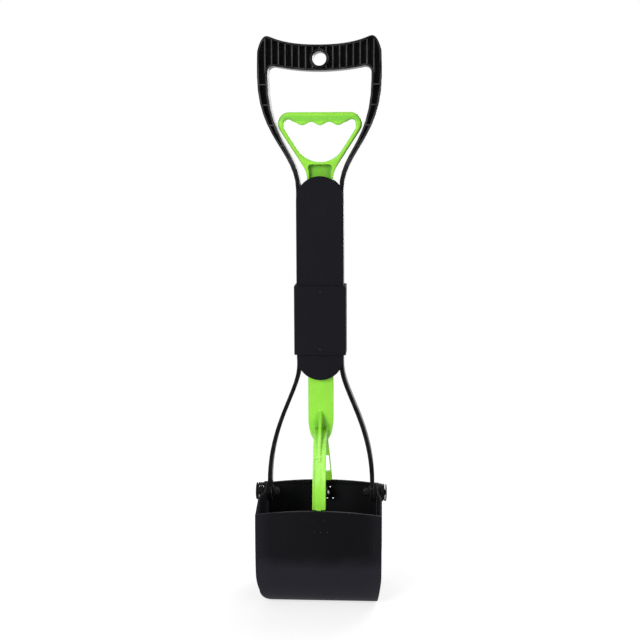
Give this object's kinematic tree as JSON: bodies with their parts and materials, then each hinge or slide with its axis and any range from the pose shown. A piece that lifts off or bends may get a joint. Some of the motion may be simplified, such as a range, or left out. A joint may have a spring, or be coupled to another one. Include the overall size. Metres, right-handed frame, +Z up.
{
  "type": "pooper scooper",
  "caption": "Long-handled pooper scooper: a pull grip slides a rod in the D-handle frame and its legs swing the spring-closed jaws open.",
  "frame": {"origin": "middle of the bounding box's base, where the closed jaws stand", "axes": "+Z up the handle, -Y towards the front with the smooth covers, +X to the right seen from the front"},
  "size_m": [0.1412, 0.119, 0.59],
  "materials": {
    "black_plastic": "satin moulded",
    "green_plastic": "smooth moulded",
    "dark_steel": "black coated",
    "bright_steel": "zinc plated"
  },
  "bodies": {
    "frame": {"upper_frame": "black_plastic", "right_lower_rail": "black_plastic", "left_lower_rail": "black_plastic", "front_cover": "black_plastic", "rear_cover": "black_plastic", "front_band": "black_plastic", "rear_band": "black_plastic", "front_band_screw_upper": "dark_steel", "front_band_screw_lower": "dark_steel", "rear_band_screw_upper": "dark_steel", "rear_band_screw_lower": "dark_steel", "hinge_bolt_right": "dark_steel", "hinge_bolt_left": "dark_steel", "hinge_sleeve_right": "dark_steel", "hinge_sleeve_left": "dark_steel", "hinge_washer_right": "dark_steel", "hinge_washer_left": "dark_steel", "hinge_nut_right": "dark_steel", "hinge_nut_left": "dark_steel", "jaw_spring_right": "dark_steel", "jaw_spring_left": "dark_steel"},
    "pull_rod": {"pull_grip": "green_plastic", "pull_bar": "green_plastic", "rear_leg": "green_plastic", "rod_screw_upper": "bright_steel", "rod_screw_lower": "bright_steel", "leg_screw_upper": "bright_steel", "leg_screw_lower": "bright_steel", "front_link_pin": "bright_steel", "rear_link_pin": "bright_steel", "front_pin_clip": "bright_steel", "rear_pin_clip": "bright_steel"},
    "front_jaw": {"front_jaw": "black_plastic"},
    "rear_jaw": {"rear_jaw": "black_plastic"}
  },
  "joints": [
    {"name": "pull_slide", "type": "slide", "parent": "frame", "child": "pull_rod", "axis": [0, 0, 1], "range_m": [0, 0.03]},
    {"name": "front_jaw_hinge", "type": "hinge", "parent": "frame", "child": "front_jaw", "pos_m": [0, 0, 0.112], "axis": [1, 0, 0], "range_deg": [-37.7, 0], "stiffness_Nm_per_rad": 0.3, "springref_deg": 18.91, "deforming": ["jaw_spring_right"]},
    {"name": "rear_jaw_hinge", "type": "hinge", "parent": "frame", "child": "rear_jaw", "pos_m": [0, 0, 0.112], "axis": [1, 0, 0], "range_deg": [0, 37.7], "stiffness_Nm_per_rad": 0.3, "springref_deg": -18.91, "deforming": ["jaw_spring_left"]}
  ],
  "couplings": [
    {"joint": "front_jaw_hinge", "follows": "pull_slide", "rad_per_m": -21.904},
    {"joint": "rear_jaw_hinge", "follows": "pull_slide", "rad_per_m": 21.904}
  ]
}
